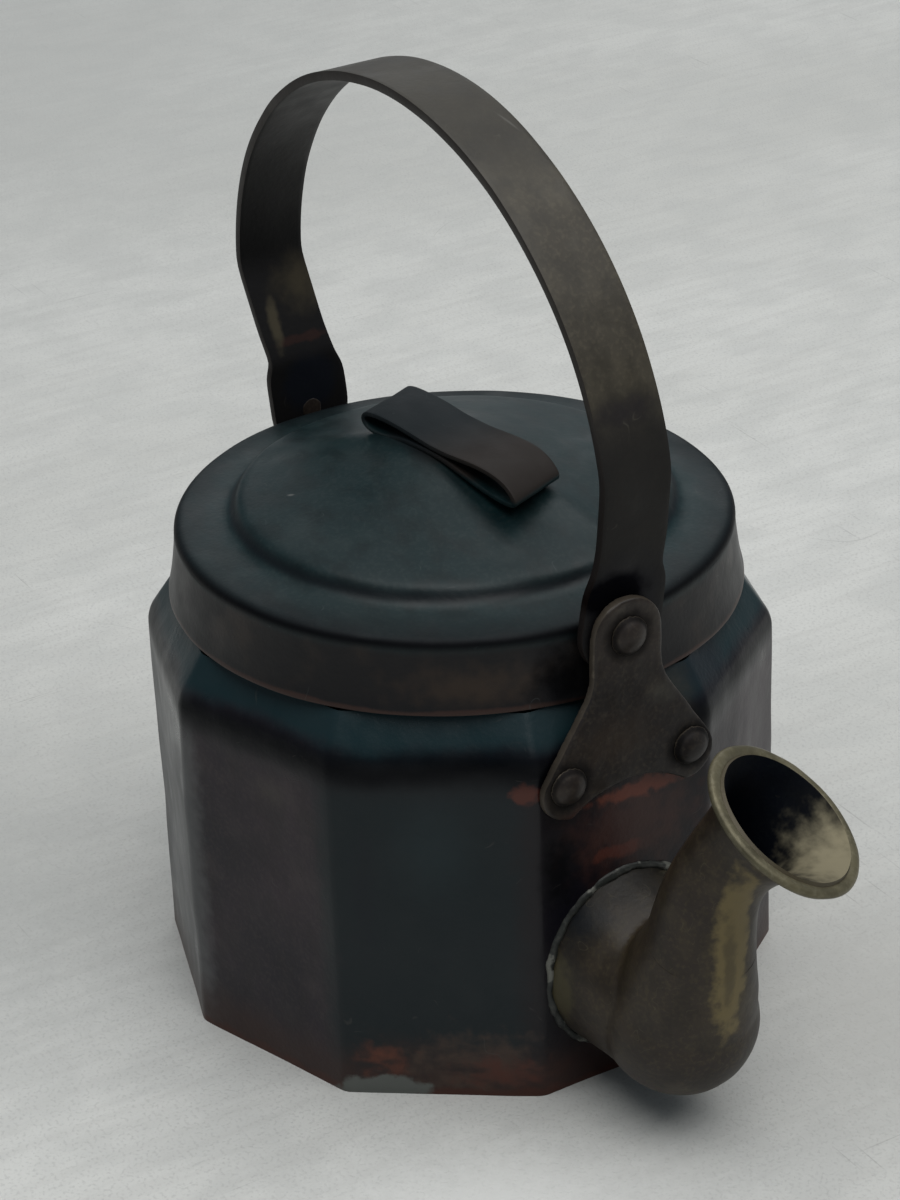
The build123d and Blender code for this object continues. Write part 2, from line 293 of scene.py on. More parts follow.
def paint(finish, mask, tint, metal=0.0):
    """Lay a tint over a finish where the mask is 1, and some bare metal with it."""
    finish.colour = finish.mix(mask, finish.colour, colour(*tint))
    if metal:
        finish.metal = finish.metal + metal * mask


def marks(finish, *rows, within=1.0):
    """Paint oval marks. A row is a strength, then what Finish.mark takes, then what paint takes."""
    for strength, centre, radii, facet, ragged, soft, *tint in rows:
        mask = strength * within * finish.mark(centre, radii, facet, ragged, soft)
        paint(finish, mask, *tint)


def paint_shade(finish, mask):
    """Paint shade: blacken a finish where the mask is 1, as black metal with no gloss of oxide."""
    paint(finish, mask, shade_black, 1.0)
    finish.rough = finish.rough + 0.3 * mask


def finished(finish, relief_depth=0.25 * MM):
    """Link what a patina has gathered to its shader."""
    finish.shader_input("Base Color", finish.colour)
    finish.shader_input("Roughness", finish.rough)
    finish.shader_input("Metallic", finish.metal)
    finish.bump(finish.relief, relief_depth)
    return finish.material


# %% [markdown]
# ## The pot's finish
# Each side of the pot has its own cast, because each lay otherwise to the fire: purple-brown,
# slate teal, then purple-brown again. The narrow side at the left carries a painted pale sheen.
# Under the lid the teal is strongest, above a dark scalloped band in the fold, which is navy oxide
# and painted shade, blackest in its core. Painted shade also lies in the corner under the ear. The
# foot is scorched, with raw red, a tan cloud and a drip of grey solder at one corner. A mark's
# place is given in millimetres, and its facet counts from the one with the spout.

# %% The pot's own copper
rust = (0.060, 0.020, 0.013)
tan = (0.058, 0.036, 0.026)
teal = (0.006, 0.022, 0.026)
navy = (0.002, 0.005, 0.009)
solder_grey = (0.100, 0.106, 0.096)
side_casts = {-1: (0.0015, 0.0080, 0.0105), 0: (0.0070, 0.0050, 0.0070), 3: (0.003, 0.010, 0.012)}
side_radii = (4.5, 45, 110)
side_middle = 46
fold_middle = shoulder_fold + 1.0 * MM


def pot_sides(finish):
    """The casts of the sides, the fold and the band over it; returns the core of the fold's painted
    shade.
    """
    ragged_z = finish.z + 5 * MM * finish.noise(14 * MM, 4.0, shift=2.0)
    for facet, cast in side_casts.items():
        turn = math.radians(facet_degrees * facet)
        centre = (apothem / MM * math.cos(turn), apothem / MM * math.sin(turn), side_middle)
        marks(finish, (0.92, centre, side_radii, facet, 0.5, 0.6, cast))
    marks(
        finish,
        # a painted pale sheen on the narrow side at the left
        (0.90, (-19, -59, 42), side_radii, -3, 0.5, 0.6, (0.085, 0.086, 0.087)),
        # on the teal side a paler cloud and a dark streak
        (0.45, (50, -37, 58), (20, 13, 17), -1, 0.6, 1.1, (0.010, 0.026, 0.030)),
        (0.60, (42, -48, 48), (9, 3.5, 20), -1, 0.6, 1.0, navy),
        # painted shade in the corner under the ear
        (0.80, (62, -14, 42), (9, 9, 22), 0, 0.5, 0.9, (0.002, 0.002, 0.006)),
        # an ochre cloud high on the next side
        (0.45, (23, -57, 65), (12, 8, 5), -2, 0.7, 1.0, (0.050, 0.042, 0.034)),
    )
    # the dark band in the fold: navy oxide and painted shade
    fold = finish.band(ragged_z, fold_middle, 8.0 * MM)
    paint(finish, fold, (0.0003, 0.0012, 0.0035))
    finish.rough = finish.rough - 0.14 * fold
    over_fold = finish.fade(ragged_z, shoulder_fold + 3.5 * MM, shoulder_fold + 7.0 * MM)
    paint(finish, 0.9 * over_fold, teal)
    return finish.band(ragged_z, fold_middle, 5.0 * MM)


def pot_foot(finish):
    """The scorched foot, where raw copper, tan and grey lie over each other."""
    ragged_z = finish.z + 14 * MM * finish.noise(9 * MM, 6.0, shift=5.0)
    paint(finish, 0.8 * finish.fade(ragged_z, 22 * MM, 8 * MM), (0.034, 0.015, 0.011))
    broken = finish.fade(finish.noise(6 * MM, 9.0, (1.4, 1.4, 0.7), 17.0), 0.34, 0.60)
    marks(
        finish,
        (0.8, (54, -31, 7), (9, 18, 11), -1, 1.4, 0.7, tan),
        (1.0, (43, -46, 8), (9, 8, 6), -1, 1.6, 0.9, (0.100, 0.031, 0.017)),
        (0.9, (58, -25, 5), (9, 16, 6), -1, 1.6, 0.9, (0.075, 0.022, 0.014)),
        within=broken,
    )
    edge = finish.fade(finish.z + 4 * MM * finish.strokes, 4.4 * MM, 2.6 * MM)
    paint(finish, 0.8 * edge, rust, 0.2)
    marks(finish, (1.0, (43, -46, 1.2), (6, 11, 3.6), -1, 1.0, 0.3, solder_grey))


def pot_copper():
    finish = patina(
        "pot_copper",
        (0.023, 0.014, 0.020),
        (0.010, 0.008, 0.013),
        (0.036, 0.025, 0.026),
        0.27,
        (1.0, 1.0, 1.6),
    )
    fold_shade_core = pot_sides(finish)
    pot_foot(finish)
    marks(
        finish,
        # the overheated side under the ear, with its streaks of raw red
        (0.8, (62, 2, 57), (5, 20, 14), 0, 1.2, 0.8, (0.045, 0.018, 0.014)),
        (1.0, (62, 4, 64.6), (4, 15, 2.4), 0, 1.8, 0.55, (0.125, 0.034, 0.020)),
        (0.9, (60, -21, 71), (6, 3.5, 3.2), 0, 1.8, 0.55, (0.080, 0.022, 0.014)),
        (0.9, (62, -2, 52), (4, 8, 2.0), 0, 1.8, 0.55, (0.075, 0.021, 0.014)),
    )
    # painted shade in the core of the fold
    paint_shade(finish, 0.6 * fold_shade_core)
    # painted shade under the ear, beside the spout's root
    paint_shade(finish, 0.65 * finish.mark((62, -15, 52), (5, 6, 13), 0, 0.9, 0.9))
    marks(
        finish,
        # slate, then brown, on the shoulder beside the ear
        (0.7, (52, 22, 84), (22, 13, 14), 1, 0.6, 0.8, (0.007, 0.009, 0.014)),
        (0.6, (57, 14, 82), (12, 6, 8), 0, 0.9, 0.9, (0.030, 0.026, 0.020)),
    )
    paint(finish, 0.35 * finish.lines(16 * MM, 0.006, 0.4), (0.060, 0.055, 0.050))
    return finished(finish)


# %% [markdown]
# ## The other finishes
# The lid is the tealest piece, because hands and cloths kept its oxide thin. Its skirt is the same
# sheet and the same slot, but reads browner. Painted shade lies on the skirt beside the ear, and in
# dark lines along the brim's roll and at the step. The strap was handled most: ochre on top, with
# painted shade and dark reflection towards the feet. Its inner side gets painted shade and its
# edges are darker, both told apart by the surface's own direction. A painted shadow lies on the
# front lug and a painted dark reflection higher up the front leg. The ears are worn bright along
# their rims, which also carry a painted highlight, and painted shade lies round their rivets.

# %% The lid's copper
step_radius = lid_radius - 12.3 * MM
crown_nicks = ((-2, 1, 111), (2, -8, 110), (3, -8, 110), (-10, -32, 108))


def skirt_cast(finish):
    """The skirt is brown, worn to copper at its lower edge, with painted shade beside the ear."""
    ragged_z = finish.z + 2 * MM * finish.noise(12 * MM, 4.0, shift=2.0)
    skirt = finish.fade(ragged_z, skirt_high[2] + 1.0 * MM, skirt_high[2] - 2.0 * MM)
    paint(finish, 0.96 * skirt, (0.0045, 0.0035, 0.0042))
    paint(finish, 0.6 * skirt * finish.stains, (0.022, 0.014, 0.010))
    marks(finish, (0.7, (50, -28, 92), (12, 20, 6), -1, 1.2, 1.0, (0.034, 0.021, 0.013)))
    edge = finish.fade(ragged_z, skirt_low[2] + 2.2 * MM, skirt_low[2] + 1.5 * MM)
    paint(finish, 0.8 * edge, (0.040, 0.019, 0.014), 0.1)
    # painted shade on the skirt beside the ear
    paint_shade(finish, 0.8 * finish.mark((56, -10, 91), (12, 9, 10), 0, 0.8, 0.9))


def lid_copper():
    finish = patina(
        "lid_copper",
        (0.0030, 0.0165, 0.0185),
        (0.0065, 0.0180, 0.0195),
        (0.020, 0.032, 0.032),
        0.32,
        (1.6, 1.0, 1.0),
    )
    skirt_cast(finish)
    # a painted dark reflection and shade along the brim's roll
    roll = finish.band(finish.z, lid_low[2] - 0.1 * MM, 1.9 * MM)
    paint(finish, roll, (0.0004, 0.0014, 0.0030))
    paint_shade(finish, 0.6 * roll)
    # a painted dark reflection and shade at the step
    flat = finish.node("ShaderNodeCombineXYZ", {}, finish.x, finish.y, 0.0)
    step = finish.band(finish.measure("LENGTH", flat), step_radius, 1.3 * MM)
    paint(finish, 0.8 * step, (0.0004, 0.0020, 0.0040))
    loop = finish.fade(finish.z, crown_top - 1 * MM, crown_top)
    paint(finish, loop, (0.0020, 0.0060, 0.0080))
    finish.rough = finish.rough + 0.25 * loop
    brown_end = finish.fade(finish.x, -6 * MM, 16 * MM)
    paint(finish, 0.85 * loop * brown_end, (0.0170, 0.0110, 0.0075))
    for place in crown_nicks:
        marks(finish, (0.7, place, (1.2, 0.5, 4), 1, 0.6, 0.8, (0.16, 0.16, 0.15)))
    marks(finish, (0.7, (16, -57, 102), (1.5, 2.4, 0.9), -2, 0.7, 0.8, (0.18, 0.17, 0.15)))
    paint(finish, 0.3 * finish.lines(12 * MM, 0.005, 0.4), (0.07, 0.08, 0.08))
    return finished(finish)


# %% The strap, ears and rivets
arch_middle = (0.0, 0.0, 0.128)
rivet_places = ((0, 100.6), (-14.2, 71.8), (14.2, 71.8))


def strap_copper():
    finish = patina(
        "strap_copper",
        (0.056, 0.048, 0.033),
        (0.042, 0.036, 0.026),
        (0.080, 0.069, 0.047),
        0.36,
        (1.0, 1.0, 1.4),
    )
    # painted shade on the strap's inner side, which faces in under the arch
    from_middle = finish.node(
        "ShaderNodeVectorMath", {"operation": "SUBTRACT"}, finish.place, arch_middle
    )
    outwards = finish.measure("DOT_PRODUCT", finish.facing, from_middle)
    inner_side_shade = finish.fade(outwards, 0.0, -0.03)
    paint(finish, (0.55 + 0.45 * finish.strokes) * inner_side_shade, (0.013, 0.013, 0.015))
    # painted shade and dark reflection, growing towards the feet
    ragged_z = finish.z + 14 * MM * finish.noise(14 * MM, 5.0, shift=4.0)
    paint(finish, 0.85 * finish.fade(ragged_z, 160 * MM, 146 * MM), (0.007, 0.006, 0.006))
    # painted shadow on the front lug over the ear
    paint_shade(finish, finish.mark((62, -2, 109), (16, 10, 5.5), 0, 0.5, 0.7))
    # more painted shade towards the feet
    paint_shade(finish, 0.3 * finish.fade(ragged_z, 152 * MM, 136 * MM))
    marks(
        finish,
        # painted shadow on the front leg over the ear, and a painted dark reflection higher up
        (0.9, (59, 0, 106), (16, 14, 16), 0, 0.5, 0.6, (0.004, 0.004, 0.006)),
        (0.7, (69, 0, 147), (16, 12, 4), 0, 0.8, 0.9, (0.006, 0.004, 0.009)),
        # the rear leg has a blue lug, a line of rust and two ochre patches
        (0.8, (-61, 0, 107), (8, 8, 8), 0, 0.4, 0.4, (0.004, 0.006, 0.012)),
        (0.35, (-64, 0, 117), (8, 8, 1.2), 0, 1.8, 0.6, rust),
        (0.7, (-63, -6, 121), (8, 2, 8), 0, 1.0, 0.7, (0.090, 0.075, 0.045)),
        (0.6, (-66, 2, 128), (10, 9, 9), 0, 0.9, 1.0, (0.065, 0.052, 0.028)),
        # a scratch near the top
        (0.7, (20, 3, 190), (4.5, 0.4, 3), 0.4, 0.5, 0.7, (0.20, 0.19, 0.17)),
    )
    paint(finish, 0.65 * finish.fade(finish.z, 180 * MM, 188 * MM), (0.024, 0.022, 0.017))
    paint(finish, 0.3 * finish.lines(14 * MM, 0.004, 0.4), (0.09, 0.082, 0.065))
    paint(finish, 0.8 * finish.fade(finish.squarely("Y"), 0.55, 0.85), (0.012, 0.0075, 0.006))
    return finished(finish)


def ear_copper(name):
    finish = patina(
        name, (0.0230, 0.0165, 0.0130), (0.0120, 0.0095, 0.0090), (0.046, 0.036, 0.025), 0.34
    )
    wear_and_painted_light = finish.fade(finish.noise(2.2 * MM, 7.0, shift=9.0), 0.60, 0.70)
    paint(finish, 0.15 * wear_and_painted_light, (0.100, 0.085, 0.065))
    marks(
        finish,
        # brown over the feet, a red foot and a grey waist
        (0.5, (64, -3, 79), (6, 15, 9), 0, 1.0, 1.0, (0.038, 0.024, 0.014)),
        (0.6, (64, -12, 63), (4, 6, 5), 0, 0.9, 0.8, (0.055, 0.018, 0.012), 0.2),
        (0.5, (65, 8, 86), (6, 5, 4), 0, 1.0, 0.9, (0.060, 0.056, 0.045)),
    )
    # painted shade in a ring round each rivet head
    for along, up in rivet_places:
        ring = finish.mark((63, along, up), (30, 6.6, 6.6), 0, 0.3, 0.4)
        head = finish.mark((63, along, up), (30, 3.6, 3.6), 0, 0.1, 0.2)
        paint_shade(finish, 0.6 * ring * (1.0 - head))
    # the rims are worn bright and carry a painted highlight too
    rim_wear_and_highlight = finish.fade(finish.squarely("X"), 0.62, 0.40)
    paint(finish, (0.35 + 0.5 * wear_and_painted_light) * rim_wear_and_highlight, (0.115, 0.095, 0.070), 0.2)
    return finished(finish)


# %% [markdown]
# ## The spout's finish
# The spout is a yellower metal under the same brown oxide. The brass shows where hands and cloths
# reached it: the mouth, the funnel behind the lip and a long streak down the neck's outer side. In
# the corner over the root the oxide stays black-green, and painted shade and a painted grey
# reflection lie at the root's upper left. Inside the tube the bore is painted black as shade, and
# the funnel's lit side is painted bright as light.

# %% The spout's bronze
brassy = (0.162, 0.125, 0.055)


def spout_bronze():
    finish = patina(
        "spout_bronze", (0.038, 0.028, 0.018), (0.027, 0.020, 0.016), (0.064, 0.050, 0.026), 0.32
    )
    marks(
        finish,
        # the black-green corner over the root
        (0.75, (62, 0, 34), (13, 40, 40), 0, 0.5, 0.9, (0.007, 0.008, 0.008)),
        # the streak down the neck: an ochre ground, bare brass and a brown line in its middle
        (0.5, (102, 0, 44), (12, 9.0, 30), 0, 1.2, 0.9, (0.075, 0.058, 0.028)),
        (0.95, (103, 0, 46), (12, 5.2, 25), 0, 0.9, 0.35, brassy, 0.15),
        (0.55, (103, -0.5, 44), (12, 2.2, 15), 0, 1.2, 0.6, (0.050, 0.040, 0.024)),
        # olive at the root's left, on the neck's left and under the bulb
        (0.6, (64, -17, 26), (6, 5, 10), 0, 1.2, 0.7, (0.080, 0.068, 0.030)),
        (0.6, (96, -11, 56), (9, 2.5, 12), 0, 1.2, 0.6, (0.070, 0.052, 0.026)),
        (0.7, (88, -8, 10), (22, 14, 6), 0, 1.0, 0.9, (0.060, 0.048, 0.034)),
        # painted shade and a painted grey reflection at the root's upper left
        (0.7, (65, -13, 41), (7, 8, 6), 0, 0.9, 0.9, navy),
        (0.35, (70, -10, 34), (6, 4, 5), 0, 1.2, 0.9, (0.075, 0.066, 0.046)),
    )
    axis = mouth_turned.col[2]
    height = finish.measure("DOT_PRODUCT", finish.place, tuple(axis)) - mouth_place.dot(axis)
    paint(finish, 0.8 * finish.fade(height, -6 * MM, -0.5 * MM), (0.075, 0.062, 0.036), 0.2)
    paint(finish, 0.3 * finish.lines(8 * MM, 0.007, 0.5), (0.10, 0.085, 0.05))
    return finished(finish)


def spout_inside():
    """The bore is painted black as shade; painted light brightens the funnel's lit side."""
    finish = patina(
        "spout_inside",
        (0.0012, 0.0020, 0.0040),
        (0.0008, 0.0014, 0.0030),
        (0.003, 0.004, 0.005),
        0.45,
        gloss=1.12,
    )
    # painted light on the funnel's lit side
    place = mouth_place / MM
    centre = (place.x + 8, place.y + 8, place.z - 4)
    marks(finish, (1.0, centre, (16, 16, 15), 0, 0.7, 0.7, (0.215, 0.190, 0.125), 0.2))
    return finished(finish)


def lip_brass():
    finish = patina(
        "lip_brass", (0.150, 0.132, 0.078), (0.110, 0.098, 0.060), (0.200, 0.180, 0.120), 0.30
    )
    finish.metal = finish.metal + 0.4
    return finished(finish)


def solder():
    finish = patina(
        "solder", (0.026, 0.028, 0.025), (0.010, 0.012, 0.012), (0.060, 0.060, 0.052), 0.34
    )
    bright = finish.fade(finish.noise(4 * MM, 6.0, shift=14.0), 0.54, 0.62)
    paint(finish, 0.9 * bright, (0.150, 0.150, 0.130), 0.2)
    return finished(finish, 0.5 * MM)


# %% Give each node its finish
finishes = {
    "pot_copper": pot_copper(),
    "lid_copper": lid_copper(),
    "bail_strap": strap_copper(),
    "ear_copper": ear_copper("ear_copper"),
    "rivet_copper": ear_copper("rivet_copper"),
    "spout_bronze": spout_bronze(),
    "lip_brass": lip_brass(),
    "solder": solder(),
}
slots = {row["node"]: row["material_slot"] for row in frame["record"]["subparts"]}
for name, node in nodes.items():
    node.data.materials.clear()
    node.data.materials.append(finishes[slots[name]])
print("finishes:", ", ".join(finishes))

# %% [markdown]
# ## Tools for sheet metal
# A new piece starts as a primitive and is shaped in edit mode, as it would be by hand. Edges are
# chosen in code, by where they lie. Short helpers do what repeats.


# %% Helpers for modelling
def deselect():
    bpy.ops.object.select_all(action="DESELECT")


def mode(name):
    bpy.ops.object.mode_set(mode=name)


def select_mesh():
    bpy.ops.mesh.select_all(action="SELECT")


def choose(piece):
    """Make a piece the active one and the only one that is selected."""
    deselect()
    bpy.context.view_layer.objects.active = piece
    piece.select_set(True)


def start(name):
    """Name the primitive that was just added and go to edit mode with nothing selected."""
    piece = bpy.context.object
    piece.name = name
    bpy.ops.object.transform_apply(location=True, rotation=True, scale=True)
    mode("EDIT")
    bpy.ops.mesh.select_all(action="DESELECT")
    return piece


def pick(piece, test):
    """Select the edges for which the test is true, and nothing else."""
    bpy.ops.mesh.select_mode(type="EDGE")
    bpy.ops.mesh.select_all(action="DESELECT")
    mesh = bmesh.from_edit_mesh(piece.data)
    for edge in mesh.edges:
        if test(edge):
            edge.select_set(True)
    mesh.select_flush_mode()
    bmesh.update_edit_mesh(piece.data)


def middle(edge):
    return (edge.verts[0].co + edge.verts[1].co) / 2


def climb(edge):
    """How much higher one end of an edge lies than the other."""
    return abs(edge.verts[0].co.z - edge.verts[1].co.z)


def shape(piece, move):
    """Move every vertex by a function of its place; for soft bends and hand-made unevenness."""
    for vertex in piece.data.vertices:
        vertex.co = move(vertex.co.copy())
    piece.data.update()


def modify(piece, kind, **settings):
    """Add a modifier, set it and apply it."""
    choose(piece)
    modifier = piece.modifiers.new(kind.lower(), kind)
    for name, value in settings.items():
        setattr(modifier, name, value)
    bpy.ops.object.modifier_apply(modifier=modifier.name)


def subdivide(piece, levels=1):
    modify(piece, "SUBSURF", levels=levels, render_levels=levels)


def ringed(name, radius, height, rings):
    """A circle, and out of it a ring for each further radius and height, left in edit mode."""
    deselect()
    bpy.ops.mesh.primitive_circle_add(vertices=96, radius=radius, location=(0, 0, height))
    piece = start(name)
    select_mesh()
    for next_radius, next_height in rings:
        lift = {"value": (0, 0, next_height - height)}
        bpy.ops.mesh.extrude_edges_move(TRANSFORM_OT_translate=lift)
        bpy.ops.transform.resize(value=(next_radius / radius, next_radius / radius, 1))
        radius, height = next_radius, next_height
    return piece


def turn_outwards(inside=False):
    """Point every face of the piece in edit mode outwards, or inside, then leave edit mode."""
    select_mesh()
    bpy.ops.mesh.normals_make_consistent(inside=inside)
    mode("OBJECT")


def dent(piece, size, depth, direction="NORMAL"):
    """Soft unevenness in large clouds, as sheet metal has after years of use."""
    clouds = bpy.data.textures.new("dents", "CLOUDS")
    clouds.noise_scale = size
    clouds.noise_depth = 1
    settings = {"texture": clouds, "texture_coords": "LOCAL", "mid_level": 0.5}
    modify(piece, "DISPLACE", strength=depth, direction=direction, **settings)


def finish_piece(piece, slot, replaced, body, sharp=40.0):
    """Give a piece its finish and smooth shading, and set it on its body for its plain node."""
    choose(piece)
    bpy.ops.object.shade_smooth_by_angle(angle=math.radians(sharp))
    if not piece.data.materials:
        piece.data.materials.append(finishes[slot])
    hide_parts(*replaced)
    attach(piece, body)
    print(piece.name, "has", len(piece.data.polygons), "faces")


# %% [markdown]
# ## The ten-sided body
# The wall was folded from one sheet over a former, so its corners are round and its facets aren't
# quite flat. A ten-sided cylinder gives the facets. Its upright edges are bevelled to the bend
# that the sheet takes, its top ring is drawn up and in for the shoulder, and that bend is bevelled
# too. A soft displacement unsettles the facets, the sheet gets its thickness, and the hole for the
# spout comes last.

# %% Body wall
corner_bend = 1.1 * MM
shoulder_bend = 2.2 * MM
shoulder_reach = 56.3 * MM
wall_thickness = 1.5 * MM
wall_hollows = (32 * MM, 0.9 * MM)
wall_dents = (11 * MM, 0.25 * MM)
hole_radius = 14 * MM
lying = (0, math.pi / 2, 0)
same_height = 0.1 * MM
foot_height = 0.6 * MM


def is_level(edge, height):
    """True for an edge that runs round the pot at that height."""
    return all(abs(vertex.co.z - height) < same_height for vertex in edge.verts)


def is_corner(edge):
    """True for an upright edge on a corner of the pot, which stands half a facet off its middle."""
    turn = math.degrees(math.atan2(middle(edge).y, middle(edge).x)) % facet_degrees
    return climb(edge) > MM and abs(turn - facet_degrees / 2) < 0.5


def spout_hole(wall):
    """Cut the round hole that lets the pot pour, with a cylinder that is taken away again."""
    deselect()
    bpy.ops.mesh.primitive_cylinder_add(
        vertices=48, radius=hole_radius, depth=20 * MM, location=spout_root, rotation=lying
    )
    cutter = bpy.context.object
    modify(wall, "BOOLEAN", object=cutter, operation="DIFFERENCE", solver="EXACT")
    bpy.data.objects.remove(cutter)


def body_wall():
    deselect()
    corner_radius = apothem / math.cos(math.pi / 10)
    bpy.ops.mesh.primitive_cylinder_add(
        vertices=10,
        radius=corner_radius,
        depth=shoulder_fold,
        end_fill_type="NOTHING",
        location=(0, 0, shoulder_fold / 2),
    )
    wall = start("pot_wall")
    pick(wall, lambda e: climb(e) > MM)
    bpy.ops.mesh.subdivide(number_cuts=11)
    pick(wall, lambda e: middle(e).z > shoulder_fold - same_height)
    lift = {"value": (0, 0, shoulder_top - shoulder_fold)}
    bpy.ops.mesh.extrude_edges_move(TRANSFORM_OT_translate=lift)
    drawn_in = shoulder_reach / apothem
    bpy.ops.transform.resize(value=(drawn_in, drawn_in, 1))
    pick(wall, lambda e: climb(e) < same_height)
    bpy.ops.mesh.subdivide(number_cuts=7)
    pick(wall, is_corner)
    bpy.ops.mesh.bevel(offset=corner_bend, segments=4)
    pick(wall, lambda e: is_level(e, shoulder_fold))
    bpy.ops.mesh.bevel(offset=shoulder_bend, segments=5)
    mode("OBJECT")
    subdivide(wall)
    dent(wall, *wall_hollows)
    dent(wall, *wall_dents)
    shape(wall, lambda p: Vector((p.x, p.y, 0.0 if p.z < foot_height else p.z)))
    modify(wall, "SOLIDIFY", thickness=wall_thickness, offset=-1)
    spout_hole(wall)
    finish_piece(wall, "pot_copper", ["body_wall"], "pot")


body_wall()

# %% [markdown]
# ## The lid
# The lid is spun or hammered round: a flat brim, a soft step and a crown that rises like a tent.
# Rings are the natural way to it. The primitive is the rim's circle, and each further ring is
# extruded from the last, drawn in and lifted.

# %% Lid top
lid_sheet = 1.1 * MM
brim_roll = 2.2 * MM
rim_height = lid_low[2] + lid_sheet
lid_rings = [  # a distance in from the rim and a height over it, in millimetres
    (0.05, -1.5), (0.35, -0.9), (0.9, -0.4), (1.8, -0.1), (3.0, 0.0), (6.0, 0.15), (10.2, 0.75),
    (11.4, 1.25), (12.3, 2.2), (12.9, 3.4), (13.6, 4.3), (15.0, 4.9), (19.0, 5.9), (25.0, 7.4),
    (32.0, 9.2), (39.0, 11.0), (45.0, 12.6), (49.0, 13.6), (52.0, 14.1), (55.5, 14.2),
]
ridge_bearings = (-148.0, 20.0)
ridge_height = 1.1 * MM
ridge_width = 4 * MM
ridge_end = 47 * MM


def crown_ridges(p):
    """Two soft creases that run down the crown from the ends of its handle."""
    reach = math.hypot(p.x, p.y)
    inside = min(1.0, max(0.0, (ridge_end - reach) / (20 * MM))) * min(1.0, reach / (10 * MM))
    rise = 0.0
    for bearing in ridge_bearings:
        off = math.radians(bearing) - math.atan2(p.y, p.x)
        aside = reach * math.sin(off) if math.cos(off) > 0 else 1.0
        rise += ridge_height * inside * math.exp(-((aside / ridge_width) ** 2))
    return Vector((p.x, p.y, p.z + rise))


def lid_top():
    """The rolled rim, the brim, the step and the crown, closed in the middle."""
    rings = [(lid_radius - inward * MM, rim_height + lift * MM) for inward, lift in lid_rings]
    lid = ringed("lid_sheet_top", lid_radius, rim_height - brim_roll, rings)
    bpy.ops.mesh.edge_face_add()
    mode("OBJECT")
    subdivide(lid)
    shape(lid, crown_ridges)
    dent(lid, 26 * MM, 0.7 * MM, "Z")
    modify(lid, "SOLIDIFY", thickness=lid_sheet, offset=-1)
    finish_piece(lid, "lid_copper", ["lid_top"], "lid")


lid_top()

# %% Lid skirt
skirt_radius = lid_radius - 0.1 * MM
skirt_sheet = 1.0 * MM
skirt_rings = [  # a distance out from its top circle and a drop from the skirt's top
    (0.25, 4.0), (0.75, 8.0), (1.35, 11.5), (1.75, 13.2), (2.0, 14.1), (1.95, 14.5),
]


def lid_skirt():
    """A band that flares a little on its way down to a plain trimmed edge."""
    rings = [(skirt_radius + out * MM, skirt_high[2] - drop * MM) for out, drop in skirt_rings]
    skirt = ringed("lid_sheet_skirt", skirt_radius, rim_height - brim_roll, rings)
    turn_outwards()
    subdivide(skirt)
    dent(skirt, 22 * MM, 0.5 * MM)
    modify(skirt, "SOLIDIFY", thickness=skirt_sheet, offset=-1)
    finish_piece(skirt, "lid_copper", ["lid_skirt"], "lid")


lid_skirt()

# %% [markdown]
# ## The bail
# The bail is one strap, bent over a block and a little crooked now: it leans to one side and its
# two legs no longer lie in one plane. It starts as a sheet with no thickness: a plane grid has a
# row for each station along the curve, and each row is set to its place, its lean and its width.
# Thickness and rounded edges come last.

# %% Bail
strap_thickness = 1.9 * MM
strap_half = 7.4 * MM
lug_half = 9.0 * MM
pivot_height = 100.6 * MM
lug_middle = 60.65 * MM
crank_height = 113.8 * MM
arch_centre = Vector((-2.6, 0.0, 127.7)) * MM
arch_span = 67.2 * MM
arch_rise = 64.7 * MM
arch_foot = math.radians(5.0)
arch_steps = 60
lean_at_top = -4.2 * MM
lean_at_pivot = 0.95 * MM
lean_height = 90 * MM
skew = 2.35 * MM
skew_reach = 66 * MM
held_height = 18 * MM
tip_distances = (0.05, 0.35, 1.0, 2.0, 3.3, 5.0, 7.0, 9.0, 12.0)


def strap_side(x, z):
    """How far the strap's middle lies aside there; nothing at the pivots."""
    above = z - pivot_height
    free = min(1.0, max(0.0, above / held_height))
    leaning = lean_at_pivot + lean_at_top * above / lean_height
    return free * (leaning + skew * x / skew_reach)


def lug_outline(distance):
    """Half the lug's width at a distance from its tip: a round end, then straight sides."""
    if distance < lug_half:
        return math.sqrt(max(0.0, lug_half**2 - (lug_half - distance) ** 2))
    return lug_half


def strap_line():
    """Stations from the front lug's tip over the arch to the rear one: x, z and half the width."""
    tip = pivot_height - lug_half
    leg = []
    for distance in tip_distances:
        leg.append((lug_middle, tip + distance * MM, lug_outline(distance * MM)))
    shoulder = [
        (lug_middle, crank_height - 5.5 * MM, lug_half),
        (lug_middle, crank_height - 3.5 * MM, 8.6 * MM),
        (lug_middle, crank_height - 1.6 * MM, 7.8 * MM),
        (lug_middle + 0.25 * MM, crank_height, strap_half),
    ]
    arch = []
    for step in range(arch_steps + 1):
        turn = arch_foot + (math.pi - 2 * arch_foot) * step / arch_steps
        across = arch_centre.x + arch_span * math.cos(turn)
        arch.append((across, arch_centre.z + arch_rise * math.sin(turn), strap_half))
    front = leg + shoulder
    rear = [(-x, z, half) for x, z, half in reversed(front)]
    return front + crank(front[-1], arch[0]) + arch + crank(arch[-1], rear[0]) + rear


def crank(lower, upper):
    """Three stations on the way between a lug and the arch."""
    places = []
    for share in (0.25, 0.5, 0.75):
        x = lower[0] + (upper[0] - lower[0]) * share
        z = lower[1] + (upper[1] - lower[1]) * share
        places.append((x, z, strap_half))
    return places


